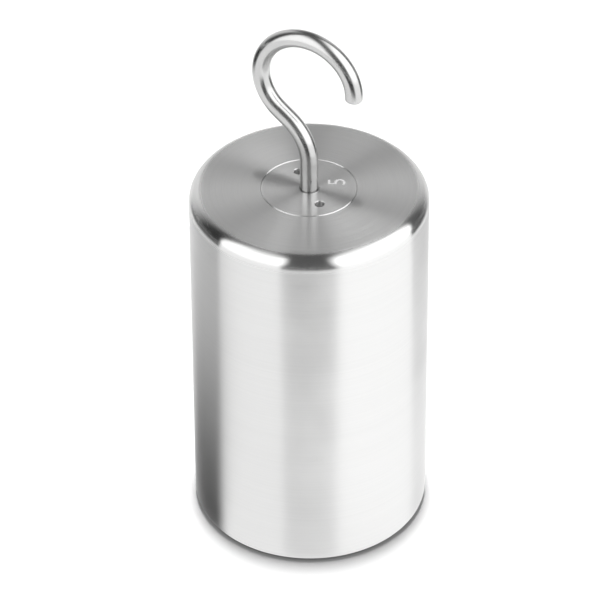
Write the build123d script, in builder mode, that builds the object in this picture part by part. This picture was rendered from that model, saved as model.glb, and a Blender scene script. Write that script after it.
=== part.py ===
"""A turned 5 kg hook weight: a solid body with an adjusting cavity, the screwed closure
that shuts it flush with the top face, and the rod hook that the closure carries.

Millimetres, +Z up. The origin is the centre of the base, on the surface that the weight
stands on. The hook is bent in the XZ plane, with its mouth on the +X side.
"""

from build123d import *
import os
from math import acos, atan2, cos, degrees, hypot, pi, radians, sqrt, tan

# ---------------------------------------------------------------- driving dimensions
# Turned body
body_diameter = 80.0
body_height = 130.0
top_edge_radius = 5.0
base_edge_radius = 3.5

# Closure: screw thread M27 x 1.5, run-out groove and head
thread_diameter = 27.0
thread_pitch = 1.5
thread_turns = 6
thread_chamfer = 1.0
groove_depth = 1.15
groove_width = 2.0
head_thickness = 3.0
head_overhang = 2.5
edge_break = 0.15

# Adjusting cavity: the tapping bore of the thread, carried on downwards
cavity_depth = 52.0
cavity_floor_radius = 1.5
tap_run_out = 0.5

# Seal ring in the run-out groove, pressed by the head
seal_thickness = 1.0
seal_edge_gap = 0.35

# Blind holes for a pin spanner
spanner_hole_diameter = 3.2
spanner_hole_depth = 4.0
spanner_hole_wall = 1.0
spanner_hole_count = 2
spanner_hole_angle = -42.0
drill_point_angle = 118.0

# Lifting hook, bent from one round rod
rod_diameter = 6.0
neck_start_height = 11.0
neck_bend_radius = 18.5
lean_length = 5.0
eye_inner_diameter = 28.0
eye_set_back = 0.5
tip_drop_angle = 4.0
tip_edge_radius = 0.6
shank_mouth_chamfer = 0.4
shank_end_length = 2.0
shank_end_chamfer = 0.8

# Lock nut M6 under the closure
nut_wall = 2.0
nut_thickness = 5.0
nut_face_inset = 0.5
nut_chamfer_angle = 30.0

# Adjusting shot
shot_diameter = 4.5
shot_gap = 0.1

# Clearances, each on the radius
thread_clearance = 0.05
head_clearance = 0.05
rod_clearance = 0.05

# ---------------------------------------------------------------- sizes that follow
body_radius = body_diameter / 2
thread_radius = thread_diameter / 2
head_radius = thread_radius + head_overhang
groove_radius = thread_radius - groove_depth
cavity_radius = thread_radius - thread_pitch / 2
spanner_hole_radius = spanner_hole_diameter / 2
spanner_circle_radius = groove_radius - spanner_hole_wall - spanner_hole_radius
rod_radius = rod_diameter / 2
shot_radius = shot_diameter / 2

head_bore_radius = head_radius + head_clearance
thread_bore_radius = thread_radius + thread_clearance
rod_bore_radius = rod_radius + rod_clearance

# Levels from the top face down: head, seal, thread, nut, free end of the shank
head_level = body_height - head_thickness
seal_level = head_level - seal_thickness
thread_level = head_level - groove_width
plug_level = thread_level - thread_pitch * thread_turns
nut_level = plug_level - nut_thickness
shank_level = nut_level - shank_end_length
tapped_level = plug_level - tap_run_out
cavity_level = plug_level - cavity_depth


def corner(x, z):
    """The corner of the open profile that lies at (x, z)."""
    return vertices().sort_by_distance((x, z))[0]


def hexagon_rings(pitch, rings):
    """Centres of close-packed balls in whole hexagonal rings about the origin."""
    row_height = pitch * sqrt(3) / 2
    return [
        (pitch * (column + row / 2), row_height * row)
        for row in range(-rings, rings + 1)
        for column in range(-rings, rings + 1)
        if abs(row + column) <= rings
    ]


# ---------------------------------------------------------------- weight body
# One turning: rounded rim and base, and on the same axis the counterbore of the head, the
# tapped bore and the cavity.
with BuildPart() as weight_body:
    with BuildSketch(Plane.XZ):
        with BuildLine():
            Polyline(
                (0, 0),
                (body_radius, 0),
                (body_radius, body_height),
                (head_bore_radius, body_height),
                (head_bore_radius, seal_level),
                (thread_bore_radius, seal_level),
                (thread_bore_radius, tapped_level),
                (cavity_radius, tapped_level),
                (cavity_radius, cavity_level),
                (0, cavity_level),
                close=True,
            )
        make_face()
        fillet(corner(body_radius, 0), base_edge_radius)
        fillet(corner(body_radius, body_height), top_edge_radius)
        fillet(corner(cavity_radius, cavity_level), cavity_floor_radius)
        chamfer(corner(head_bore_radius, body_height), edge_break)
        chamfer(corner(thread_bore_radius, seal_level), thread_chamfer)
    revolve(axis=Axis.Z)
weight_body.part.label = "weight_body"

# ---------------------------------------------------------------- adjusting plug
# The head lies flush with the top face. The groove under it lets the thread run out and
# holds the seal ring, and two blind holes take the pins of a spanner.
drill_point_height = spanner_hole_radius / tan(radians(drill_point_angle / 2))

with BuildPart() as adjusting_plug:
    with BuildSketch(Plane.XZ):
        with BuildLine():
            Polyline(
                (rod_bore_radius, plug_level),
                (thread_radius, plug_level),
                (thread_radius, thread_level),
                (groove_radius, thread_level),
                (groove_radius, head_level),
                (head_radius, head_level),
                (head_radius, body_height),
                (rod_bore_radius, body_height),
                close=True,
            )
        make_face()
        chamfer(corner(thread_radius, plug_level), thread_chamfer)
        chamfer(corner(thread_radius, thread_level), thread_chamfer / 2)
        chamfer(corner(head_radius, body_height), edge_break)
        chamfer(corner(rod_bore_radius, body_height), shank_mouth_chamfer)
    revolve(axis=Axis.Z)
    with Locations((0, 0, body_height)):
        with PolarLocations(spanner_circle_radius, spanner_hole_count, spanner_hole_angle):
            Hole(spanner_hole_radius, depth=spanner_hole_depth)
    with Locations((0, 0, body_height - spanner_hole_depth)):
        with PolarLocations(spanner_circle_radius, spanner_hole_count, spanner_hole_angle):
            Cone(
                bottom_radius=0,
                top_radius=spanner_hole_radius,
                height=drill_point_height,
                align=(Align.CENTER, Align.CENTER, Align.MAX),
                mode=Mode.SUBTRACT,
            )
adjusting_plug.part.label = "adjusting_plug"

# ---------------------------------------------------------------- seal ring
with BuildPart() as seal_ring:
    with BuildSketch(Plane.XY.offset(seal_level)):
        Circle(head_bore_radius - seal_edge_gap)
        Circle(groove_radius + seal_edge_gap, mode=Mode.SUBTRACT)
    extrude(amount=seal_thickness)
seal_ring.part.label = "seal_ring"

# ---------------------------------------------------------------- lifting hook
# The rod rises on the axis, leans back through the neck bend, and runs on a straight
# tangent into the eye, which it goes round over the top to the tip. The tangent crosses
# between the two bend centres, and they are just far enough apart for its length.
eye_radius = eye_inner_diameter / 2 + rod_radius
radii_together = neck_bend_radius + eye_radius
centres_apart = hypot(radii_together, lean_length)
centres_across = neck_bend_radius - eye_set_back
rise_angle = acos(centres_across / centres_apart)
neck_bend_angle = degrees(rise_angle - atan2(lean_length, radii_together))
eye_bend_angle = 180 + neck_bend_angle + tip_drop_angle
neck_level = body_height + neck_start_height

with BuildPart() as lifting_hook:
    with BuildLine(Plane.XZ) as rod_line:
        shank = Line((0, shank_level), (0, neck_level))
        neck = JernArc(shank @ 1, shank % 1, neck_bend_radius, neck_bend_angle)
        lean = PolarLine(neck @ 1, lean_length, direction=neck % 1)
        eye = JernArc(lean @ 1, lean % 1, eye_radius, -eye_bend_angle)
    with BuildSketch(Plane.XY.offset(shank_level)):
        Circle(rod_radius)
    sweep(path=rod_line.line)
    shank_face = faces().sort_by_distance(shank @ 0)[0]
    chamfer(shank_face.edges(), shank_end_chamfer)
    tip_face = faces().sort_by_distance(eye @ 1)[0]
    fillet(tip_face.edges(), tip_edge_radius)
lifting_hook.part.label = "lifting_hook"

# ---------------------------------------------------------------- lock nut
# A hexagon with both faces turned down to a cone, which leaves the curved corners of a nut.
nut_flat_radius = rod_radius + nut_wall
nut_corner_radius = nut_flat_radius / cos(pi / 6)
nut_face_radius = nut_flat_radius - nut_face_inset
nut_cone_height = (nut_corner_radius - nut_face_radius) * tan(radians(nut_chamfer_angle))

with BuildPart() as lock_nut:
    with BuildSketch(Plane.XY.offset(nut_level)):
        RegularPolygon(nut_flat_radius, 6, major_radius=False)
        Circle(rod_bore_radius, mode=Mode.SUBTRACT)
    extrude(amount=nut_thickness)
    with BuildSketch(Plane.XZ):
        with BuildLine():
            Polyline(
                (0, nut_level),
                (nut_face_radius, nut_level),
                (nut_corner_radius, nut_level + nut_cone_height),
                (nut_corner_radius, plug_level - nut_cone_height),
                (nut_face_radius, plug_level),
                (0, plug_level),
                close=True,
            )
        make_face()
    revolve(axis=Axis.Z, mode=Mode.INTERSECT)
lock_nut.part.label = "lock_nut"

# ---------------------------------------------------------------- adjusting shot
# Balls lie on the cavity's floor in as many hexagonal rings as its width takes, and three
# more lie in the hollows about the middle one.
shot_pitch = shot_diameter + shot_gap
floor_rings = int((cavity_radius - shot_radius - shot_gap) // shot_pitch)
floor_layer_level = cavity_level + shot_radius + shot_gap
hollow_offset = shot_pitch / sqrt(3)
layer_rise = shot_pitch * sqrt(2 / 3)

with BuildPart() as adjusting_shot:
    with Locations((0, 0, floor_layer_level)):
        with Locations(*hexagon_rings(shot_pitch, floor_rings)):
            Sphere(shot_radius)
    with Locations((0, 0, floor_layer_level + layer_rise)):
        with PolarLocations(hollow_offset, 3, 90):
            Sphere(shot_radius)
adjusting_shot.part.label = "adjusting_shot"

# ---------------------------------------------------------------- one file for each piece
os.makedirs("parts", exist_ok=True)
for piece in (weight_body, adjusting_plug, seal_ring, lifting_hook, lock_nut, adjusting_shot):
    export_step(piece.part, f"parts/{piece.part.label}.step")
    print(piece.part.label, round(piece.part.volume / 1000, 3), "cm3")
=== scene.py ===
"""Calibration weight of 5 kg with a screwed closure and a bent rod hook.

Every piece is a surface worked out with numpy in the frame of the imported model: metres,
+Z up, origin at the centre of the base, hook bent in the XZ plane.
"""

import math

import bmesh
import bpy
import numpy as np
from bpy.props import FloatProperty, FloatVectorProperty, PointerProperty, StringProperty
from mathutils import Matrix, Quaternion, Vector


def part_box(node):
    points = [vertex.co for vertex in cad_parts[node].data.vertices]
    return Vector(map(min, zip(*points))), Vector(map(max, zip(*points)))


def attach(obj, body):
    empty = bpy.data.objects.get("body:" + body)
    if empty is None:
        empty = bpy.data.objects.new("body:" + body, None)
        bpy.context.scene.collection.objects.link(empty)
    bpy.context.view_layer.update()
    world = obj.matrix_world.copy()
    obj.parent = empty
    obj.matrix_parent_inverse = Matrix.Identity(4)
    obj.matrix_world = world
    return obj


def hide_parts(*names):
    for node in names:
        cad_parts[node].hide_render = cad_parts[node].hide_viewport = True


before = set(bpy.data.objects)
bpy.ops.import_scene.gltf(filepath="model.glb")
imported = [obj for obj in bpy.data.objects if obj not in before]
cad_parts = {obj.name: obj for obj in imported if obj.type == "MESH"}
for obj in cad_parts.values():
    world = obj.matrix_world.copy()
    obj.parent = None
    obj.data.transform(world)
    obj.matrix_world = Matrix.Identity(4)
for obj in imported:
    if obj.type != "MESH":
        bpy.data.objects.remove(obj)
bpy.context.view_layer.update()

bl_info = {
    "name": "Calibration weight",
    "version": (1, 0, 0),
    "blender": (4, 5, 0),
    "location": "View3D > Sidebar > Weight",
    "description": "Makes a turned hook weight, its closure and its studio",
    "category": "Add Mesh",
}

BODY_LOW, BODY_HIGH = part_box("weight_body")

MM = 0.001
COLUMNS = 256
SUPPORT = 0.08 * MM
MERGE = 1e-6
CREASE = math.radians(28)

# Turned finish: slope of the turning marks and dull share of a flat face, how much finer and
# flatter the rim and the side are, and the spread of a noise about its middle.
FACE_SLOPE = 0.17
FACE_HAZE = 0.2
RIM_FINER = 0.09
RIM_FLATTER = 0.8
SIDE_FLATTER = 0.6
NOISE_SPREAD = 0.12
BAND_RATIO = 0.08

# Wear: scales of the smears, of the scratches and of the areas that have any, per metre
SMEAR_SCALE = 38.0
SCRATCH_SCALE = 110.0
SCRATCH_AREAS = 60.0
SCRATCH_WIDTH = 0.004


# ------------------------------------------------------------------ sizes and finishes
def length_property(name, description, default):
    """Property that is a length in metres."""
    return FloatProperty(name=name, description=description, default=default, unit="LENGTH")


def colour_property(name, description, default):
    """Property that is a colour with parts from 0 to 1."""
    return FloatVectorProperty(
        name=name,
        description=description,
        subtype="COLOR",
        size=3,
        default=default,
        min=0.0,
        max=1.0,
    )


class WeightSizes(bpy.types.PropertyGroup):
    """Sizes of the turned body, its closure and its hook."""

    body_diameter: length_property(
        "Body diameter", "Diameter of the turned body", BODY_HIGH[0] - BODY_LOW[0]
    )
    body_height: length_property(
        "Body height",
        "Height of the body from its base to its top face",
        BODY_HIGH[2] - BODY_LOW[2],
    )
    top_radius: length_property(
        "Top edge radius", "Radius of the rounding between the side and the top face", 5.0 * MM
    )
    base_radius: length_property(
        "Base edge radius", "Radius of the rounding between the side and the base", 3.5 * MM
    )
    thread_diameter: length_property(
        "Thread diameter", "Outside diameter of the closure's screw thread", 27.0 * MM
    )
    thread_pitch: length_property(
        "Thread pitch", "Rise of the screw thread in one turn", 1.5 * MM
    )
    rod_diameter: length_property(
        "Rod diameter", "Diameter of the round rod that the hook is bent from", 6.0 * MM
    )
    eye_diameter: length_property(
        "Eye inner diameter", "Clear diameter inside the hook's eye", 28.0 * MM
    )
    mark: StringProperty(
        name="Engraved number",
        description="Plain number engraved in the closure, the mass in kilograms",
        default="5",
    )


class WeightFinish(bpy.types.PropertyGroup):
    """Colours and surface finishes of the weight."""

    steel_colour: colour_property(
        "Steel", "Reflected colour of the stainless steel", (0.67, 0.67, 0.667)
    )
    rubber_colour: colour_property("Rubber", "Colour of the seal ring", (0.018, 0.018, 0.02))
    rod_colour: colour_property(
        "Rod", "Reflected colour of the polished rod", (0.55, 0.55, 0.548)
    )
    turned_roughness: FloatProperty(
        name="Turned roughness",
        description="Roughness of the turned faces",
        default=0.3,
        min=0.02,
        max=1.0,
        subtype="FACTOR",
    )
    rod_roughness: FloatProperty(
        name="Rod roughness",
        description="Roughness of the polished rod",
        default=0.24,
        min=0.01,
        max=1.0,
        subtype="FACTOR",
    )
    groove_spacing: length_property(
        "Turning feed", "Distance between one turning mark and the next", 0.06 * MM
    )


class WeightStage(bpy.types.PropertyGroup):
    """Camera and studio round the weight."""

    azimuth: FloatProperty(
        name="Camera azimuth",
        description="Direction of the camera round the weight, 0 in front",
        default=math.radians(27.3),
        subtype="ANGLE",
    )
    elevation: FloatProperty(
        name="Camera elevation",
        description="Height of the camera above the horizon",
        default=math.radians(38.3),
        subtype="ANGLE",
    )
    distance: length_property(
        "Camera distance", "Distance from the camera to the middle of the body", 1.523
    )
    floor_colour: colour_property("Floor", "Colour of the plain floor", (0.9, 0.9, 0.9))
    light_power: FloatProperty(
        name="Overhead light",
        description="Strength of the light that falls straight down, in watts per square metre",
        default=2.9,
        min=0.0,
    )


# ------------------------------------------------------------------ closure, hook and shot
HEAD_THICKNESS = 3.0 * MM
HEAD_OVERHANG = 2.5 * MM
SEAL_THICKNESS = 1.0 * MM
SEAL_EDGE_GAP = 0.35 * MM
SEAL_ROUNDING = 0.3 * MM
GROOVE_DEPTH = 1.15 * MM
GROOVE_WIDTH = 2.0 * MM
THREAD_TURNS = 6
THREAD_CHAMFER = 1.0 * MM
THREAD_DEPTH = 0.6134
THREAD_FLANK = math.radians(30)
TAP_RUN_OUT = 0.5 * MM
CAVITY_DEPTH = 52.0 * MM
CAVITY_FLOOR_RADIUS = 1.5 * MM
EDGE_BREAK = 0.28 * MM
CLEARANCE = 0.05 * MM
SHANK_MOUTH = 0.4 * MM
NUT_WALL = 2.0 * MM
NUT_THICKNESS = 5.0 * MM
NUT_FACE_INSET = 0.5 * MM
NUT_CHAMFER = math.radians(30)
NUT_CHAMFER_REACH = 0.7 * MM
SHANK_END = 2.0 * MM
SHANK_CHAMFER = 0.8 * MM
NECK_START = 11.0 * MM
NECK_BEND = 18.5 * MM
NECK_LEAN = 5.0 * MM
EYE_SET_BACK = 0.5 * MM
TIP_DROP = math.radians(4.0)
TIP_ROUNDING = 0.6 * MM
ROD_STEPS = 300
SHOT_RADIUS = 2.25 * MM
SHOT_GAP = 0.1 * MM
SPANNER_RADIUS = 1.6 * MM
SPANNER_WALL = 1.0 * MM
SPANNER_DEPTH = 4.0 * MM
SPANNER_ANGLE = math.radians(-42.0)
DRILL_POINT = math.radians(118.0)
HOLE_BREAK = 0.2 * MM
FEWEST_FACES = 1000
MARK_PLACE = (7.0 * MM, 7.2 * MM)
MARK_TURN = math.radians(117.0)
MARK_SIZE = 8.4 * MM
MARK_REACH = 4 * MM
MARK_DEPTH = 0.18 * MM
MARK_WIDEN = 0.05 * MM


class Levels:
    """Radii and heights that follow from the sizes, in metres."""

    def __init__(self, sizes):
        self.body = sizes.body_diameter / 2
        self.top = sizes.body_height
        self.thread = sizes.thread_diameter / 2
        self.pitch = sizes.thread_pitch
        self.rod = sizes.rod_diameter / 2
        self.head = self.thread + HEAD_OVERHANG
        self.groove = self.thread - GROOVE_DEPTH
        self.cavity = self.thread - self.pitch / 2
        self.head_bore = self.head + CLEARANCE
        self.thread_bore = self.thread + CLEARANCE
        self.rod_bore = self.rod + CLEARANCE
        self.head_level = self.top - HEAD_THICKNESS
        self.seal_level = self.head_level - SEAL_THICKNESS
        self.thread_level = self.head_level - GROOVE_WIDTH
        self.plug_level = self.thread_level - self.pitch * THREAD_TURNS
        self.nut_level = self.plug_level - NUT_THICKNESS
        self.shank_level = self.nut_level - SHANK_END
        self.tapped_level = self.plug_level - TAP_RUN_OUT
        self.cavity_level = self.plug_level - CAVITY_DEPTH
        self.spanner_circle = self.groove - SPANNER_WALL - SPANNER_RADIUS


# ------------------------------------------------------------------ surfaces
def turned_profile(corners, step=math.radians(5)):
    """Outline through (radius, height, rounding) corners.

    Each rounding is an arc that touches both straight runs, in equal steps of angle. Each
    run has one more point close to either end, which keeps its shading flat.
    """
    points = np.array([c[:2] for c in corners], float)
    line = []
    for i, (x, z, rounding) in enumerate(corners):
        here = points[i]
        if rounding == 0 or i in (0, len(corners) - 1):
            line.append(here[None])
            continue
        back = points[i - 1] - here
        on = points[i + 1] - here
        back /= np.linalg.norm(back)
        on /= np.linalg.norm(on)
        half = math.acos(np.clip(back @ on, -1, 1)) / 2
        middle = here + (back + on) / np.linalg.norm(back + on) * rounding / math.sin(half)
        start = here + back * rounding / math.tan(half) - middle
        turn = (math.pi - 2 * half) * np.sign(on[0] * back[1] - on[1] * back[0])
        a = np.linspace(0, turn, max(2, math.ceil(abs(turn) / step)) + 1)
        line.append(
            middle
            + np.stack(
                [
                    start[0] * np.cos(a) - start[1] * np.sin(a),
                    start[0] * np.sin(a) + start[1] * np.cos(a),
                ],
                axis=1,
            )
        )
    runs = []
    for i, arc in enumerate(line):
        runs.append(arc)
        if i + 1 < len(line):
            a, b = arc[-1], line[i + 1][0]
            length = np.linalg.norm(b - a)
            if length > 4 * SUPPORT:
                inset = (b - a) * SUPPORT / length
                runs.append(np.stack([a + inset, b - inset]))
    return np.concatenate(runs)


def rows_at(angle, radius, height):
    """Rows of points at each angle about the axis, from their radius and height."""
    return np.stack(
        [radius * np.cos(angle), radius * np.sin(angle), height + 0 * angle], axis=2
    )


def turned_rows(profile, columns=COLUMNS):
    """Rows of a turned surface: the profile's radius and height at each angle."""
    return rows_at(np.linspace(0, 2 * np.pi, columns + 1), profile[:, :1], profile[:, 1:])


def thread_rows(low, high, radius, pitch, root, end_radius):
    """Rows of a 60 degree screw thread between two heights.

    Height is the rise of a right-hand helix, held between low and high. Radius falls from
    the crest's flat along the flank, by 1 / tan 30 of the height, down to the root, and a
    45 degree cone at each end cuts it to that end's radius.
    """
    angle = np.linspace(0, 2 * np.pi, COLUMNS + 1)
    flat = pitch / 16
    reach = flat + (radius - root) * math.tan(THREAD_FLANK)
    flank = (reach + flat) / 2
    marks = np.array([-pitch / 2, -reach, -flank, -flat, flat, flank, reach])
    turns = np.arange(-2, round((high - low) / pitch) + 2)
    steps = (turns[:, None] * pitch + marks[None]).ravel()[:, None]
    height = np.clip(low + steps + pitch * angle / (2 * np.pi), low, high)
    phase = (height - low) / pitch - angle / (2 * np.pi)
    off_crest = np.abs(phase - np.round(phase)) * pitch
    wave = np.clip(radius + (flat - off_crest) / math.tan(THREAD_FLANK), root, radius)
    cut = np.minimum(end_radius[0] + height - low, end_radius[1] + high - height)
    return rows_at(angle, np.minimum(wave, cut), height)


def joined_mesh(name, blocks):
    """Mesh of blocks of rows, each a grid of quads, with seams and poles merged.

    The quad at a row and column joins it to the next of each. Points that lie together are
    merged, and the faces are turned outwards.
    """
    points, quads, start = [], [], 0
    for rows in blocks:
        count, width = rows.shape[:2]
        index = start + np.arange(count * width).reshape(count, width)
        quads.append(
            np.stack(
                [index[:-1, :-1], index[:-1, 1:], index[1:, 1:], index[1:, :-1]], axis=2
            ).reshape(-1, 4)
        )
        points.append(rows.reshape(-1, 3))
        start += count * width
    mesh = bpy.data.meshes.new(name)
    mesh.from_pydata(np.concatenate(points).tolist(), [], np.concatenate(quads).tolist())
    work = bmesh.new()
    work.from_mesh(mesh)
    bmesh.ops.remove_doubles(work, verts=work.verts, dist=MERGE)
    bmesh.ops.recalc_face_normals(work, faces=work.faces)
    work.to_mesh(mesh)
    work.free()
    return mesh


def placed(name, mesh, body, node, material):
    """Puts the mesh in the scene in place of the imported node.

    Its shading is smooth, with a hard line at every edge sharper than the crease angle.
    """
    mesh.shade_smooth()
    mesh.set_sharp_from_angle(angle=CREASE)
    piece = bpy.data.objects.new(name, mesh)
    bpy.context.scene.collection.objects.link(piece)
    mesh.materials.append(material)
    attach(piece, body)
    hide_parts(node)
    return piece


def cut_away(mesh, cutters):
    """The mesh with every cutter's mesh taken out of it."""
    piece = bpy.data.objects.new("cut_piece", mesh)
    bpy.context.scene.collection.objects.link(piece)
    for cutter in cutters:
        tool = bpy.data.objects.new("cut_tool", cutter)
        bpy.context.scene.collection.objects.link(tool)
        cut = piece.modifiers.new("cut", "BOOLEAN")
        cut.operation = "DIFFERENCE"
        cut.solver = "EXACT"
        cut.object = tool
        seen = piece.evaluated_get(bpy.context.evaluated_depsgraph_get())
        result = bpy.data.meshes.new_from_object(seen)
        piece.modifiers.clear()
        piece.data = result
        bpy.data.objects.remove(tool)
    result = piece.data
    bpy.data.objects.remove(piece)
    return result


# ------------------------------------------------------------------ shader groups
def new_group(name, inputs, outputs):
    """Empty shader node group with float inputs (name, default) and outputs (name, type)."""
    group = bpy.data.node_groups.new(name, "ShaderNodeTree")
    sockets = group.interface
    for label, default in inputs:
        socket = sockets.new_socket(label, in_out="INPUT", socket_type="NodeSocketFloat")
        socket.default_value = default
    for label, kind in outputs:
        sockets.new_socket(label, in_out="OUTPUT", socket_type=kind)
    return group


class Graph:
    """Short calls for adding and joining the nodes of one tree."""

    def __init__(self, tree):
        self.tree = tree

    def add(self, kind, **settings):
        node = self.tree.nodes.new(kind)
        for key, value in settings.items():
            setattr(node, key, value)
        return node

    def join(self, source, target):
        self.tree.links.new(source, target)

    def feed(self, socket, value):
        if isinstance(value, bpy.types.NodeSocket):
            self.join(value, socket)
        else:
            socket.default_value = value

    def math(self, operation, a, b=0.0, c=None):
        node = self.add("ShaderNodeMath", operation=operation)
        self.feed(node.inputs[0], a)
        self.feed(node.inputs[1], b)
        if c is not None:
            self.feed(node.inputs[2], c)
        return node.outputs[0]

    def span(self, value, low, high, to_low=0.0, to_high=1.0):
        node = self.add("ShaderNodeMapRange", interpolation_type="SMOOTHSTEP")
        for socket, item in zip(node.inputs[:5], (value, low, high, to_low, to_high)):
            self.feed(socket, item)
        return node.outputs[0]

    def noise(self, vector, scale, detail=2.0, roughness=0.5):
        node = self.add("ShaderNodeTexNoise")
        self.join(vector, node.inputs["Vector"])
        self.feed(node.inputs["Scale"], scale)
        self.feed(node.inputs["Detail"], detail)
        self.feed(node.inputs["Roughness"], roughness)
        return node.outputs["Fac"]

    def vector(self, x, y, z):
        node = self.add("ShaderNodeCombineXYZ")
        for socket, item in zip(node.inputs, (x, y, z)):
            self.feed(socket, item)
        return node.outputs[0]

    def place(self):
        return self.add("ShaderNodeTexCoord").outputs["Object"]

    def split(self, vector):
        node = self.add("ShaderNodeSeparateXYZ")
        self.join(vector, node.inputs[0])
        return node.outputs

    def radius(self, x, y):
        squares = self.math("ADD", self.math("MULTIPLY", x, x), self.math("MULTIPLY", y, y))
        return self.math("SQRT", squares)

    def product(self, operation, a, b):
        """Vector maths of two inputs, the second a vector or, for SCALE, a number."""
        node = self.add("ShaderNodeVectorMath", operation=operation)
        self.join(a, node.inputs[0])
        self.join(b, node.inputs["Scale" if operation == "SCALE" else 1])
        return node.outputs[0]


def turning_marks():
    """Group: fine rings left by the tool, which follow radius on a face and height on a side.

    The normal is tilted across the rings by a slope that is a noise of radius plus height.
    """
    group = bpy.data.node_groups.get("turning_marks")
    if group:
        return group
    group = new_group(
        "turning_marks",
        [("Spacing", 0.00016), ("Slope", 0.1)],
        [("Normal", "NodeSocketVector"), ("Band", "NodeSocketFloat")],
    )
    g = Graph(group)
    entry, leave = g.add("NodeGroupInput"), g.add("NodeGroupOutput")
    x, y, z = g.split(g.place())
    feed = g.math("DIVIDE", g.math("ADD", g.radius(x, y), z), entry.outputs["Spacing"])
    turn = g.math("ARCTAN2", y, x)
    fine = g.noise(g.vector(feed, turn, 0.0), 1.0, detail=3.0, roughness=0.7)
    broad = g.noise(g.vector(g.math("MULTIPLY", feed, BAND_RATIO), 0.0, 3.7), 1.0)
    steep = g.math("DIVIDE", g.math("SUBTRACT", fine, 0.5), NOISE_SPREAD)
    steep = g.math("MULTIPLY", steep, entry.outputs["Slope"])
    normal = g.add("ShaderNodeNewGeometry").outputs["Normal"]
    tangent = g.add("ShaderNodeTangent", direction_type="RADIAL", axis="Z").outputs[0]
    tilt = g.product("SCALE", g.product("CROSS_PRODUCT", normal, tangent), steep)
    unit = g.add("ShaderNodeVectorMath", operation="NORMALIZE")
    g.join(g.product("ADD", normal, tilt), unit.inputs[0])
    g.join(unit.outputs[0], leave.inputs["Normal"])
    g.join(broad, leave.inputs["Band"])
    return group


def handling_wear():
    """Group: faint smears of handling and a few hairline scratches."""
    group = bpy.data.node_groups.get("handling_wear")
    if group:
        return group
    group = new_group(
        "handling_wear",
        [("Scale", 1.0)],
        [("Smear", "NodeSocketFloat"), ("Scratch", "NodeSocketFloat")],
    )
    g = Graph(group)
    entry, leave = g.add("NodeGroupInput"), g.add("NodeGroupOutput")
    place, scale = g.place(), entry.outputs["Scale"]
    smear = g.noise(place, g.math("MULTIPLY", scale, SMEAR_SCALE), detail=4.0)
    g.join(g.span(smear, 0.35, 0.75), leave.inputs["Smear"])
    bend = g.noise(place, g.math("MULTIPLY", scale, SCRATCH_SCALE), detail=1.0)
    thin = g.math("ABSOLUTE", g.math("SUBTRACT", bend, 0.5))
    line = g.span(thin, 0.0, SCRATCH_WIDTH, 1.0, 0.0)
    where = g.noise(place, g.math("MULTIPLY", scale, SCRATCH_AREAS), detail=0.0)
    g.join(g.math("MULTIPLY", line, g.span(where, 0.6, 0.68)), leave.inputs["Scratch"])
    return group


def new_material(name):
    """Material with a Principled shader: the material, its graph and the shader."""
    material = bpy.data.materials.new(name)
    material.use_nodes = True
    graph = Graph(material.node_tree)
    return material, graph, material.node_tree.nodes["Principled BSDF"]


def tinted(g, colour, factor, darkest):
    """Colour scaled between darkest and 1 by a factor that varies over the surface."""
    mix = g.add("ShaderNodeMix", data_type="RGBA")
    g.join(factor, mix.inputs["Factor"])
    mix.inputs["A"].default_value = (*[c * darkest for c in colour], 1.0)
    mix.inputs["B"].default_value = (*colour, 1.0)
    return mix.outputs["Result"]


def turned_material(name, roughness, spacing, slope, stretch=1.0, body=None):
    """Lathe-turned steel: rings, and a highlight that is stretched across them.

    A body's side is finer than its top face, and the rounding between them is polished.
    """
    finish = bpy.context.scene.weight_finish
    material, g, shader = new_material(name)
    marks = g.add("ShaderNodeGroup", node_tree=turning_marks())
    marks.inputs["Spacing"].default_value = spacing
    marks.inputs["Slope"].default_value = slope
    wear = g.add("ShaderNodeGroup", node_tree=handling_wear())
    colour = tinted(g, finish.steel_colour, marks.outputs["Band"], 0.93)
    g.join(colour, shader.inputs["Base Color"])
    shader.inputs["Metallic"].default_value = 1.0 - FACE_HAZE
    rough = g.math("MULTIPLY_ADD", wear.outputs["Smear"], 0.04, roughness - 0.02)
    rough = g.math("ADD", rough, g.math("MULTIPLY", wear.outputs["Scratch"], 0.08))
    if body:
        rim, side = finer_zones(g, body)
        clear = g.span(g.math("ADD", rim, side), 0.0, 1.0, 1.0 - FACE_HAZE, 1.0)
        g.join(clear, shader.inputs["Metallic"])
        rough = g.math("SUBTRACT", rough, g.math("MULTIPLY", rim, RIM_FINER))
        flatter = g.math("MULTIPLY", rim, RIM_FLATTER)
        flatter = g.math("MULTIPLY_ADD", side, SIDE_FLATTER, flatter)
        kept = g.math("SUBTRACT", 1.0, flatter)
        g.join(g.math("MULTIPLY", kept, slope), marks.inputs["Slope"])
    g.join(rough, shader.inputs["Roughness"])
    shader.inputs["Anisotropic"].default_value = stretch
    shader.inputs["Anisotropic Rotation"].default_value = 0.25
    bump = g.add("ShaderNodeBump")
    bump.invert = True
    bump.inputs["Strength"].default_value = 0.3
    bump.inputs["Distance"].default_value = 0.000012
    g.join(wear.outputs["Scratch"], bump.inputs["Height"])
    g.join(marks.outputs["Normal"], bump.inputs["Normal"])
    g.join(bump.outputs[0], shader.inputs["Normal"])
    tangent = g.add("ShaderNodeTangent", direction_type="RADIAL", axis="Z")
    g.join(tangent.outputs[0], shader.inputs["Tangent"])
    return material


def finer_zones(g, body):
    """Masks of the rounding under the top face and of the side below it."""
    radius, top, rounding = body
    x, y, z = g.split(g.place())
    fade = rounding / 4
    low = g.span(z, top - rounding - fade, top - rounding + fade)
    wide = g.span(g.radius(x, y), radius - rounding * 0.85, radius - rounding * 0.55)
    rim = g.math("MULTIPLY", low, wide)
    side = g.math("MAXIMUM", g.math("SUBTRACT", wide, low), 0.0)
    return rim, side


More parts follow.
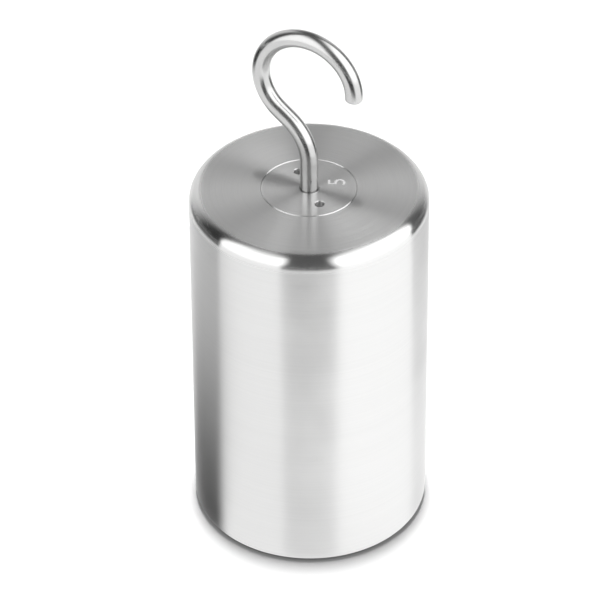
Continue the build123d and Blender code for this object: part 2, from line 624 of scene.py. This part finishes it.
def engraved_material(name):
    """Bright matt steel at the bottom of engraved strokes."""
    material, g, shader = new_material(name)
    grain = g.noise(g.place(), 9000.0)
    g.join(tinted(g, (0.74, 0.74, 0.74), grain, 0.8), shader.inputs["Base Color"])
    shader.inputs["Metallic"].default_value = 0.3
    g.join(g.span(grain, 0.3, 0.7, 0.55, 0.7), shader.inputs["Roughness"])
    return material


def polished_material(name, colour, roughness, drawn):
    """Polished steel: soft waviness, faint hairlines and a little drawn grain."""
    material, g, shader = new_material(name)
    wear = g.add("ShaderNodeGroup", node_tree=handling_wear())
    wear.inputs["Scale"].default_value = 3.1
    place = g.place()
    wave, fine = g.noise(place, 160.0), g.noise(place, 2600.0)
    g.join(tinted(g, colour, wear.outputs["Smear"], 0.93), shader.inputs["Base Color"])
    shader.inputs["Metallic"].default_value = 1.0
    rough = g.math("MULTIPLY_ADD", wear.outputs["Smear"], 0.03, roughness - 0.01)
    rough = g.math("ADD", rough, g.math("MULTIPLY", wear.outputs["Scratch"], 0.12))
    g.join(rough, shader.inputs["Roughness"])
    bump = g.add("ShaderNodeBump")
    bump.inputs["Strength"].default_value = 0.25
    bump.inputs["Distance"].default_value = drawn
    g.join(g.math("ADD", wave, g.math("MULTIPLY", fine, 0.12)), bump.inputs["Height"])
    g.join(bump.outputs[0], shader.inputs["Normal"])
    return material


def rubber_material(name):
    """Moulded rubber: dull black with a fine skin and pale bloom."""
    finish = bpy.context.scene.weight_finish
    material, g, shader = new_material(name)
    wear = g.add("ShaderNodeGroup", node_tree=handling_wear())
    wear.inputs["Scale"].default_value = 4.0
    colour = tinted(g, finish.rubber_colour, wear.outputs["Smear"], 0.55)
    g.join(colour, shader.inputs["Base Color"])
    g.join(g.math("MULTIPLY_ADD", wear.outputs["Smear"], 0.2, 0.5), shader.inputs["Roughness"])
    bump = g.add("ShaderNodeBump")
    bump.inputs["Strength"].default_value = 0.3
    bump.inputs["Distance"].default_value = 0.00003
    g.join(g.noise(g.place(), 4200.0, detail=3.0), bump.inputs["Height"])
    g.join(bump.outputs[0], shader.inputs["Normal"])
    return material


# ------------------------------------------------------------------ pieces
class WEIGHT_OT_body(bpy.types.Operator):
    """Turns the body with its counterbore, plain bore for the closure's thread, and cavity"""

    bl_idname = "weight.body"
    bl_label = "Turned body"

    def execute(self, context):
        sizes, finish = context.scene.weight_sizes, context.scene.weight_finish
        v = Levels(sizes)
        outside = turned_profile(
            [
                (0, 0, 0),
                (v.body, 0, sizes.base_radius),
                (v.body, v.top, sizes.top_radius),
                (v.head_bore + EDGE_BREAK, v.top, 0),
                (v.head_bore, v.top - EDGE_BREAK, 0),
                (v.head_bore, v.seal_level, 0),
                (v.thread_bore + THREAD_CHAMFER, v.seal_level, 0),
                (v.thread_bore, v.seal_level - THREAD_CHAMFER, 0),
                (v.thread_bore, v.tapped_level, 0),
                (v.cavity, v.tapped_level, 0),
                (v.cavity, v.cavity_level, CAVITY_FLOOR_RADIUS),
                (0, v.cavity_level, 0),
            ]
        )
        mesh = joined_mesh("weight_body_turned", [turned_rows(outside)])
        material = turned_material(
            "turned_steel",
            finish.turned_roughness,
            finish.groove_spacing,
            FACE_SLOPE,
            body=(v.body, v.top, sizes.top_radius),
        )
        placed("weight_body_turned", mesh, "weight", "weight_body", material)
        return {"FINISHED"}


class WEIGHT_OT_plug(bpy.types.Operator):
    """Turns the closure, cuts its thread, drills its spanner holes and engraves its number"""

    bl_idname = "weight.plug"
    bl_label = "Screwed closure"

    def execute(self, context):
        sizes, finish = context.scene.weight_sizes, context.scene.weight_finish
        v = Levels(sizes)
        start = v.thread - THREAD_CHAMFER
        under = turned_profile([(v.rod_bore, v.plug_level, 0), (start, v.plug_level, 0)])
        thread = thread_rows(
            v.plug_level,
            v.thread_level,
            v.thread,
            v.pitch,
            v.thread - THREAD_DEPTH * v.pitch,
            (start, v.thread - THREAD_CHAMFER / 2),
        )
        over = turned_profile(
            [
                (v.groove, v.thread_level, 0),
                (v.groove, v.head_level, 0),
                (v.head, v.head_level, 0),
                (v.head, v.top - EDGE_BREAK, 0),
                (v.head - EDGE_BREAK, v.top, 0),
                (v.rod_bore + SHANK_MOUTH, v.top, 0),
                (v.rod_bore, v.top - SHANK_MOUTH, 0),
                (v.rod_bore, v.plug_level, 0),
            ]
        )
        rows = np.concatenate([turned_rows(under), thread, turned_rows(over)])
        mesh = joined_mesh("adjusting_plug_turned", [rows])
        mesh = cut_away(mesh, self.holes(v) + [self.number(sizes.mark, v)])
        if len(mesh.polygons) < FEWEST_FACES:
            raise RuntimeError("the closure was lost in its cuts")
        material = turned_material(
            "plug_steel", finish.turned_roughness, finish.groove_spacing, FACE_SLOPE
        )
        piece = placed(
            "adjusting_plug_turned", mesh, "closure", "adjusting_plug", material
        )
        self.split_mark(piece, v)
        return {"FINISHED"}

    def holes(self, v):
        """Blind drilled holes on the spanner circle: a cylinder with a cone at its end."""
        point = SPANNER_RADIUS / math.tan(DRILL_POINT / 2)
        floor = v.top - SPANNER_DEPTH
        profile = turned_profile(
            [
                (0, floor - point, 0),
                (SPANNER_RADIUS, floor, 0),
                (SPANNER_RADIUS, v.top - HOLE_BREAK, 0),
                (SPANNER_RADIUS + 2 * HOLE_BREAK, v.top + HOLE_BREAK, 0),
                (0, v.top + HOLE_BREAK, 0),
            ]
        )
        made = []
        for angle in (SPANNER_ANGLE, SPANNER_ANGLE + math.pi):
            rows = turned_rows(profile, 64)
            rows = rows + np.array([math.cos(angle), math.sin(angle), 0]) * v.spanner_circle
            made.append(joined_mesh("spanner_hole", [rows]))
        return made

    def split_mark(self, piece, v):
        """Gives the faces at the bottom of the engraved strokes their own material."""
        mesh = piece.data
        mesh.materials.append(engraved_material("engraved_steel"))
        centre = np.empty(len(mesh.polygons) * 3)
        mesh.polygons.foreach_get("center", centre)
        centre = centre.reshape(-1, 3)
        depth = v.top - centre[:, 2]
        near = np.hypot(*(centre[:, :2] - MARK_PLACE).T) < MARK_REACH
        sunk = (depth > MARK_DEPTH * 0.3) & (depth < MARK_DEPTH * 1.1)
        index = (near & sunk).astype(np.int32)
        if not index.any():
            raise RuntimeError("the number was not engraved")
        mesh.polygons.foreach_set("material_index", index)

    def number(self, mark, v):
        """Solid of the engraved number, which reads along its own direction on the face."""
        text = bpy.data.curves.new("engraved_number", "FONT")
        text.body = mark
        text.size = MARK_SIZE
        text.extrude = MARK_DEPTH
        text.offset = MARK_WIDEN
        text.align_x = "CENTER"
        text.align_y = "CENTER"
        holder = bpy.data.objects.new("engraved_number", text)
        bpy.context.scene.collection.objects.link(holder)
        seen = holder.evaluated_get(bpy.context.evaluated_depsgraph_get())
        mesh = bpy.data.meshes.new_from_object(seen)
        bpy.data.objects.remove(holder)
        flat = np.empty(len(mesh.vertices) * 3)
        mesh.vertices.foreach_get("co", flat)
        x, y, z = flat.reshape(-1, 3).T
        cos, sin = math.cos(MARK_TURN), math.sin(MARK_TURN)
        place = np.stack(
            [x * cos - y * sin + MARK_PLACE[0], x * sin + y * cos + MARK_PLACE[1], z + v.top],
            axis=1,
        )
        mesh.vertices.foreach_set("co", place.ravel())
        work = bmesh.new()
        work.from_mesh(mesh)
        bmesh.ops.remove_doubles(work, verts=work.verts, dist=MERGE)
        work.to_mesh(mesh)
        work.free()
        return mesh


class WEIGHT_OT_seal(bpy.types.Operator):
    """Moulds the seal ring with rounded edges"""

    bl_idname = "weight.seal"
    bl_label = "Seal ring"

    def execute(self, context):
        v = Levels(context.scene.weight_sizes)
        inner, outer = v.groove + SEAL_EDGE_GAP, v.head_bore - SEAL_EDGE_GAP
        middle = ((inner + outer) / 2, v.seal_level, 0)
        profile = turned_profile(
            [
                middle,
                (outer, v.seal_level, SEAL_ROUNDING),
                (outer, v.head_level, SEAL_ROUNDING),
                (inner, v.head_level, SEAL_ROUNDING),
                (inner, v.seal_level, SEAL_ROUNDING),
                middle,
            ],
            step=math.radians(15),
        )
        mesh = joined_mesh("seal_ring_moulded", [turned_rows(profile, 192)])
        material = rubber_material("seal_rubber")
        placed("seal_ring_moulded", mesh, "seal", "seal_ring", material)
        return {"FINISHED"}


class WEIGHT_OT_hook(bpy.types.Operator):
    """Bends the hook from one round rod"""

    bl_idname = "weight.hook"
    bl_label = "Rod hook"

    def execute(self, context):
        sizes, finish = context.scene.weight_sizes, context.scene.weight_finish
        v = Levels(sizes)
        rod = v.rod
        eye = sizes.eye_diameter / 2 + rod
        apart = math.hypot(NECK_BEND + eye, NECK_LEAN)
        across = NECK_BEND - EYE_SET_BACK
        neck_angle = math.acos(across / apart) - math.atan2(NECK_LEAN, NECK_BEND + eye)
        eye_angle = math.pi + neck_angle + TIP_DROP
        runs = [
            (v.top + NECK_START - v.shank_level, 0.0),
            (NECK_BEND * neck_angle, 1 / NECK_BEND),
            (NECK_LEAN, 0.0),
            (eye * eye_angle, -1 / eye),
        ]
        total = sum(length for length, _ in runs)
        tip = TIP_ROUNDING
        along = np.linspace(SHANK_CHAMFER, total - tip, ROD_STEPS)
        quarter = np.linspace(0, math.pi / 2, 9)[1:]
        distance = np.concatenate([[0, 0], along, total - tip + tip * np.sin(quarter), [total]])
        even = np.full(ROD_STEPS, rod)
        rounded = rod - tip + tip * np.cos(quarter)
        radius = np.concatenate([[0, rod - SHANK_CHAMFER], even, rounded, [0]])
        rows = self.carried(distance, radius, runs, v.shank_level)
        mesh = joined_mesh("lifting_hook_bent", [rows])
        material = polished_material(
            "polished_rod", finish.rod_colour, finish.rod_roughness, 0.04 * MM
        )
        placed("lifting_hook_bent", mesh, "closure", "lifting_hook", material)
        return {"FINISHED"}

    def carried(self, distance, radius, runs, level):
        """Circle carried along the rod's line.

        The line is a chain of runs of even curvature in the XZ plane. On each, the heading
        turns by curvature times distance, and the place is its integral. The circle stands
        across the heading.
        """
        heading = np.zeros_like(distance)
        place = np.zeros((len(distance), 2))
        start, where, turn = 0.0, np.array([0.0, level]), math.pi / 2
        for length, bend in runs:
            s = np.clip(distance - start, 0, length)
            here = distance >= start - 1e-12
            angle = turn + bend * s
            if bend:
                step = np.stack(
                    [np.sin(angle) - math.sin(turn), math.cos(turn) - np.cos(angle)], axis=1
                ) / bend
            else:
                step = s[:, None] * np.array([math.cos(turn), math.sin(turn)])
            place[here] = (where + step)[here]
            heading[here] = angle[here]
            last = turn + bend * length
            if bend:
                where = where + np.array(
                    [math.sin(last) - math.sin(turn), math.cos(turn) - math.cos(last)]
                ) / bend
            else:
                where = where + length * np.array([math.cos(turn), math.sin(turn)])
            start, turn = start + length, last
        around = np.linspace(0, 2 * np.pi, 65)
        side = radius[:, None] * np.cos(around)
        return np.stack(
            [
                place[:, :1] - side * np.sin(heading)[:, None],
                radius[:, None] * np.sin(around),
                place[:, 1:] + side * np.cos(heading)[:, None],
            ],
            axis=2,
        )


class WEIGHT_OT_nut(bpy.types.Operator):
    """Cuts the hexagon lock nut under the closure"""

    bl_idname = "weight.nut"
    bl_label = "Lock nut"

    def execute(self, context):
        finish = context.scene.weight_finish
        v = Levels(context.scene.weight_sizes)
        flat = v.rod + NUT_WALL
        face = flat - NUT_FACE_INSET
        low, high = v.nut_level, v.plug_level
        # Radius is the hexagon's, cut at both faces by the cone of the chamfer.
        angle = np.linspace(0, 2 * np.pi, 97)
        hexagon = flat / np.cos((angle + np.pi / 6) % (np.pi / 3) - np.pi / 6)
        edge = np.linspace(0, NUT_CHAMFER_REACH, 8)
        height = np.concatenate([low + edge, high - edge[::-1]])[:, None]
        reach = face + np.minimum(height - low, high - height) / math.tan(NUT_CHAMFER)
        wall = rows_at(angle, np.minimum(hexagon, reach), height)
        bore = np.array([[v.rod_bore, high], [v.rod_bore, low]])
        rows = np.concatenate([wall, turned_rows(bore, 96), wall[:1]])
        mesh = joined_mesh("lock_nut_cut", [rows])
        material = turned_material("nut_steel", finish.turned_roughness, 0.2 * MM, 0.1, 0.4)
        placed("lock_nut_cut", mesh, "closure", "lock_nut", material)
        return {"FINISHED"}


class WEIGHT_OT_shot(bpy.types.Operator):
    """Lays the adjusting shot on the floor of the cavity"""

    bl_idname = "weight.shot"
    bl_label = "Adjusting shot"

    def execute(self, context):
        finish = context.scene.weight_finish
        v = Levels(context.scene.weight_sizes)
        pitch = 2 * SHOT_RADIUS + SHOT_GAP
        rings = int((v.cavity - SHOT_RADIUS - SHOT_GAP) // pitch)
        row, column = np.meshgrid(np.arange(-rings, rings + 1), np.arange(-rings, rings + 1))
        keep = np.abs(row + column) <= rings
        row, column = row[keep], column[keep]
        level = v.cavity_level + SHOT_RADIUS + SHOT_GAP
        layer = np.stack(
            [
                pitch * (column + row / 2),
                pitch * row * math.sqrt(3) / 2,
                level + 0.0 * row,
            ],
            axis=1,
        )
        third = np.radians([90, 210, 330])
        upper = np.stack(
            [
                pitch / math.sqrt(3) * np.cos(third),
                pitch / math.sqrt(3) * np.sin(third),
                level + pitch * math.sqrt(2 / 3) + 0 * third,
            ],
            axis=1,
        )
        tilt = np.linspace(-np.pi / 2, np.pi / 2, 17)
        sphere = turned_rows(SHOT_RADIUS * np.stack([np.cos(tilt), np.sin(tilt)], axis=1), 32)
        balls = [sphere + centre for centre in np.concatenate([layer, upper])]
        mesh = joined_mesh("adjusting_shot_balls", balls)
        material = polished_material("shot_steel", finish.steel_colour, 0.12, 0.02 * MM)
        placed("adjusting_shot_balls", mesh, "weight", "adjusting_shot", material)
        return {"FINISHED"}


# ------------------------------------------------------------------ stage
# Below, x is to the camera's right, y away from it and z up. A span is (low, high), in most
# cases with the value at either end.
#
# Two tall light panels stand left and right of the camera with a slit between them. Each is
# given by its side, the direction across its rear edge, the softness of its inner edge, and
# its brightness low and high.
PANELS = (
    (-1.0, (0.109, -0.976, 0.189), 0.05, 1.75, 0.55),
    (1.0, (0.159, -0.914, 0.375), 0.09, 2.05, 1.25),
)
SLIT = 0.42
SLIT_TAPER = 0.2
REAR_EDGE = 0.03
PANEL_FADE = (0.78, 0.98)

# A glow stands behind, bright at the horizon and lower above, with a gap in its middle.
GLOW_SPAN = (0.42, 0.92)
GLOW_LEAN = -0.13
GLOW_RISE = (0.03, 0.5)
GLOW_LOW = 0.86
GLOW_HIGH = 1.0
GLOW_GAP = (0.14, 0.4, 0.0, 1.0)
DARK_SPAN = (-0.8, -0.3, 0.04, 0.13)
AMBIENT = 0.42

# The floor's reflection is painted on a glowing sheet just above it, which only reflections
# see.
# It glows evenly, with painted light brighter in front of the slit, and has painted shadow and
# shade: a painted shadow of the weight with a straight front edge that starts from the left of
# the weight, and painted shade on the far floor where no panel stands, on the floor at the left
# and behind, and in the ring close under the weight.
FLOOR_HALF = 3.0
SHEET_HALF = 1.5
SHEET_LEVEL = 0.3 * MM
FLOOR_SEEN = 1.42
FLOOR_LEAST = 0.02
# Painted shadow of the weight on the reflected floor: darkness near the axis, front edge, start
# and fade.
SHADOW_NEAR = (0.06, 0.24, 0.93, 0.0)
SHADOW_SLANT = 0.087
SHADOW_FRONT = -0.0296
SHADOW_EDGE = 0.004
SHADOW_START = (0.0386, 0.0104)
SHADOW_ALONG = (-0.866, -0.5)
SHADOW_FADE = (-0.016, 0.008)
# Painted shade: far floor where no panel stands, floor at the left and behind, ring under the
# weight.
FAR_FLOOR = (0.24, 0.36)
FAR_SIDES = (0.5, 0.96, 1.0, 0.0)
SLIT_FLOOR = (0.08, 0.2, 0.0, 0.25)
SLIT_FRONT = (-0.02, -0.08)
LEFT_DIM = (0.06, -0.03, 0.0, 0.14)
BACK_FLOOR = (0.12, 0.3)
BACK_DIM = (0.3, 0.9, 0.0, 0.28)
UNDER_SHADE = (0.0378, 0.0392, 0.6, 0.0)

OVERHEAD_LEANS = tuple(math.radians(lean) for lean in (0.0, 1.2, 3.0))
OVERHEAD_WIDTH = math.radians(3.0)

# Camera: focal length and aim beside the middle of the body, in units of which the square
# frame has 600, and its roll.
SENSOR = 36.0
FRAME_UNITS = 600.0
FOCAL_UNITS = 4470.0
AIM_RIGHT = -9.58
AIM_UP = 41.31
CAMERA_ROLL = math.radians(-0.35)


def panel_masks(g, x, y, z):
    """Mask of each panel in a direction: beyond the slit, and before its rear edge."""
    masks = []
    for side, across, soft, *_ in PANELS:
        taper = g.math("MULTIPLY", g.math("MAXIMUM", z, 0.0), SLIT_TAPER)
        beside = g.math("MULTIPLY_ADD", x, side, taper)
        beside = g.span(beside, SLIT - soft, SLIT + soft)
        before = g.math("MULTIPLY", x, across[0])
        before = g.math("MULTIPLY_ADD", y, across[1], before)
        before = g.math("MULTIPLY_ADD", z, across[2], before)
        masks.append(g.math("MULTIPLY", beside, g.span(before, -REAR_EDGE, REAR_EDGE)))
    return masks


def studio_axes(g, place, azimuth):
    """The place or direction along the camera's right, away from it, and up."""
    turned = g.add("ShaderNodeVectorRotate", rotation_type="Z_AXIS")
    g.join(place, turned.inputs["Vector"])
    turned.inputs["Angle"].default_value = -azimuth
    return g.split(turned.outputs[0])


def dull_bounce(g):
    """1 on a ray that has bounced off a dull surface, else 0, and the light path's outputs."""
    path = g.add("ShaderNodeLightPath").outputs
    return g.math("MINIMUM", path["Diffuse Depth"], 1.0), path


def square(name, half, level):
    """Mesh of one level square about the axis."""
    mesh = bpy.data.meshes.new(name)
    ends = ((-half, -half), (half, -half), (half, half), (-half, half))
    mesh.from_pydata([(x, y, level) for x, y in ends], [], [(0, 1, 2, 3)])
    return mesh


class WEIGHT_OT_stage(bpy.types.Operator):
    """Sets up the plain floor, the painted floor reflection, the soft studio light and the
    camera
    """

    bl_idname = "weight.stage"
    bl_label = "Studio"

    def execute(self, context):
        settings = context.scene.weight_stage
        self.floor(context, settings)
        self.cloth(context, settings)
        self.sky(context, settings)
        self.overhead(context, settings)
        self.camera(context, settings)
        context.scene.view_settings.view_transform = "Standard"
        return {"FINISHED"}

    def floor(self, context, settings):
        """Plain square floor with a little unevenness in its sheen."""
        mesh = square("floor", FLOOR_HALF, 0.0)
        material, g, shader = new_material("floor")
        shader.inputs["Base Color"].default_value = (*settings.floor_colour, 1.0)
        shader.inputs["Specular IOR Level"].default_value = 0.1
        g.join(g.span(g.noise(g.place(), 3.0), 0.3, 0.7, 0.75, 0.9), shader.inputs["Roughness"])
        mesh.materials.append(material)
        floor = bpy.data.objects.new("floor", mesh)
        context.scene.collection.objects.link(floor)

    def cloth(self, context, settings):
        """Glowing sheet that only reflections see: painted reflection of the floor and painted
        shade.

        The painted shadow's darkness falls with distance from the axis, is cut by the straight
        line that leaves the body at its left, and fades in along the floor from there.
        """
        mesh = square("cloth", SHEET_HALF, SHEET_LEVEL)
        material, g, shader = new_material("cloth")
        x, y, _ = studio_axes(g, g.place(), settings.azimuth)
        radius = g.radius(x, y)
        aside, away = g.math("DIVIDE", x, radius), g.math("DIVIDE", y, radius)
        # Painted shadow of the weight: dark near the axis, behind a straight front edge, fading
        # in along the floor.
        line = g.math("ADD", g.math("MULTIPLY", x, SHADOW_SLANT), y)
        behind = g.span(line, SHADOW_FRONT - SHADOW_EDGE, SHADOW_FRONT + SHADOW_EDGE)
        along = g.math("MULTIPLY", g.math("ADD", x, SHADOW_START[0]), SHADOW_ALONG[0])
        sideways = g.math("ADD", y, SHADOW_START[1])
        along = g.math("MULTIPLY_ADD", sideways, SHADOW_ALONG[1], along)
        painted_shadow = g.math("MULTIPLY", g.span(radius, *SHADOW_NEAR), behind)
        painted_shadow = g.math("MULTIPLY", painted_shadow, g.span(along, *SHADOW_FADE))
        # Painted shade on the far floor where no panel stands.
        left, right = panel_masks(g, aside, away, 0.0)
        unlit = g.math("SUBTRACT", 1.0, g.math("MAXIMUM", left, right))
        far = g.math("MULTIPLY", unlit, g.span(away, *FAR_SIDES))
        far = g.math("MULTIPLY", g.span(radius, *FAR_FLOOR), far)
        # Painted shade on the floor behind the weight.
        back = g.math("MULTIPLY", g.span(radius, *BACK_FLOOR), g.span(away, *BACK_DIM))
        # Painted shadow and painted shade together, with the floor at the left and the ring
        # close under the weight.
        painted_shade = g.math("MAXIMUM", painted_shadow, far)
        for dim in (g.span(x, *LEFT_DIM), back, g.span(radius, *UNDER_SHADE)):
            painted_shade = g.math("MAXIMUM", painted_shade, dim)
        # Painted light: the reflected floor is brighter in front of the slit.
        lift = g.math("MULTIPLY", g.span(radius, *SLIT_FLOOR), g.span(y, *SLIT_FRONT))
        lift = g.math("MULTIPLY_ADD", unlit, lift, FLOOR_SEEN)
        bright = g.math("MULTIPLY", g.math("SUBTRACT", 1.0, painted_shade), lift)
        bright = g.math("ADD", bright, FLOOR_LEAST)
        bounced, _ = dull_bounce(g)
        bright = g.math("MULTIPLY", bright, g.math("SUBTRACT", 1.0, bounced))
        # The sheet glows with the painted reflection of the floor; it is no lamp.
        shader.inputs["Base Color"].default_value = (0.0, 0.0, 0.0, 1.0)
        shader.inputs["Specular IOR Level"].default_value = 0.0
        shader.inputs["Emission Color"].default_value = (1.0, 1.0, 1.0, 1.0)
        g.join(bright, shader.inputs["Emission Strength"])
        mesh.materials.append(material)
        cloth = bpy.data.objects.new("cloth", mesh)
        cloth.visible_camera = False
        cloth.visible_diffuse = False
        cloth.visible_shadow = False
        context.scene.collection.objects.link(cloth)

    def sky(self, context, settings):
        """World of two panels, dark between them, with a soft glow from behind.

        The camera sees it white, and a ray that has bounced off a dull surface sees it even.
        """
        world = bpy.data.worlds.new("studio")
        world.use_nodes = True
        context.scene.world = world
        g = Graph(world.node_tree)
        place = g.add("ShaderNodeTexCoord").outputs["Generated"]
        x, y, z = studio_axes(g, place, settings.azimuth)
        high = g.math("MULTIPLY", g.span(g.math("ABSOLUTE", x), *GLOW_GAP), GLOW_HIGH)
        glow = g.span(g.math("MULTIPLY_ADD", x, GLOW_LEAN, y), *GLOW_SPAN)
        glow = g.math("MULTIPLY", glow, g.span(z, *GLOW_RISE, GLOW_LOW, high))
        total = g.math("ADD", glow, g.span(x, *DARK_SPAN))
        for mask, (*_, low, high) in zip(panel_masks(g, x, y, z), PANELS):
            total = g.math("MULTIPLY_ADD", mask, g.span(z, *PANEL_FADE, low, high), total)
        background = world.node_tree.nodes["Background"]
        background.inputs["Color"].default_value = (1.0, 1.0, 1.0, 1.0)
        bounced, path = dull_bounce(g)
        total = g.math("MULTIPLY", total, g.math("SUBTRACT", 1.0, bounced))
        total = g.math("MULTIPLY_ADD", bounced, AMBIENT, total)
        g.join(g.math("MAXIMUM", total, path["Is Camera Ray"]), background.inputs["Strength"])

    def overhead(self, context, settings):
        """Narrow suns overhead, upright to a little behind, which reflections don't see."""
        for lean in OVERHEAD_LEANS:
            lamp = bpy.data.lights.new("overhead", "SUN")
            lamp.energy = settings.light_power / len(OVERHEAD_LEANS)
            lamp.angle = OVERHEAD_WIDTH
            holder = bpy.data.objects.new("overhead", lamp)
            holder.rotation_euler = (-lean, 0.0, settings.azimuth)
            holder.visible_glossy = False
            context.scene.collection.objects.link(holder)

    def camera(self, context, settings):
        """Long-lens camera that looks past the middle of the body by a fixed offset."""
        lens = bpy.data.cameras.new("camera")
        lens.sensor_width = SENSOR
        lens.lens = SENSOR * FOCAL_UNITS / FRAME_UNITS
        lens.clip_start, lens.clip_end = 0.05, 20.0
        camera = bpy.data.objects.new("camera", lens)
        context.scene.collection.objects.link(camera)
        a, e = settings.azimuth, settings.elevation
        back = Vector((math.sin(a) * math.cos(e), -math.cos(a) * math.cos(e), math.sin(e)))
        right = Vector((math.cos(a), math.sin(a), 0.0))
        up = back.cross(right)
        middle = Vector((0.0, 0.0, context.scene.weight_sizes.body_height / 2))
        unit = settings.distance / FOCAL_UNITS
        aim = middle + right * AIM_RIGHT * unit + up * AIM_UP * unit
        camera.location = middle + back * settings.distance
        facing = (camera.location - aim).to_track_quat("Z", "Y")
        camera.rotation_euler = (facing @ Quaternion((0.0, 0.0, 1.0), CAMERA_ROLL)).to_euler()
        context.scene.camera = camera


class WEIGHT_PT_make(bpy.types.Panel):
    """Sizes, finishes and steps of the weight"""

    bl_idname = "WEIGHT_PT_make"
    bl_label = "Calibration weight"
    bl_space_type = "VIEW_3D"
    bl_region_type = "UI"
    bl_category = "Weight"

    def draw(self, context):
        for group in ("weight_sizes", "weight_finish", "weight_stage"):
            box = self.layout.box()
            settings = getattr(context.scene, group)
            for key in settings.__annotations__:
                box.prop(settings, key)
        for step in STEPS:
            self.layout.operator(step.bl_idname)


STEPS = (
    WEIGHT_OT_body,
    WEIGHT_OT_plug,
    WEIGHT_OT_seal,
    WEIGHT_OT_hook,
    WEIGHT_OT_nut,
    WEIGHT_OT_shot,
    WEIGHT_OT_stage,
)
SETTINGS = {
    "weight_sizes": WeightSizes,
    "weight_finish": WeightFinish,
    "weight_stage": WeightStage,
}


def register():
    for made in (*SETTINGS.values(), *STEPS, WEIGHT_PT_make):
        bpy.utils.register_class(made)
    for name, made in SETTINGS.items():
        setattr(bpy.types.Scene, name, PointerProperty(type=made))


def unregister():
    for name in SETTINGS:
        delattr(bpy.types.Scene, name)
    for made in (WEIGHT_PT_make, *reversed(STEPS), *SETTINGS.values()):
        bpy.utils.unregister_class(made)


def main():
    """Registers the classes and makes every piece."""
    register()
    bpy.ops.weight.body()
    bpy.ops.weight.plug()
    bpy.ops.weight.seal()
    bpy.ops.weight.hook()
    bpy.ops.weight.nut()
    bpy.ops.weight.shot()
    bpy.ops.weight.stage()


if __name__ == "__main__":
    main()
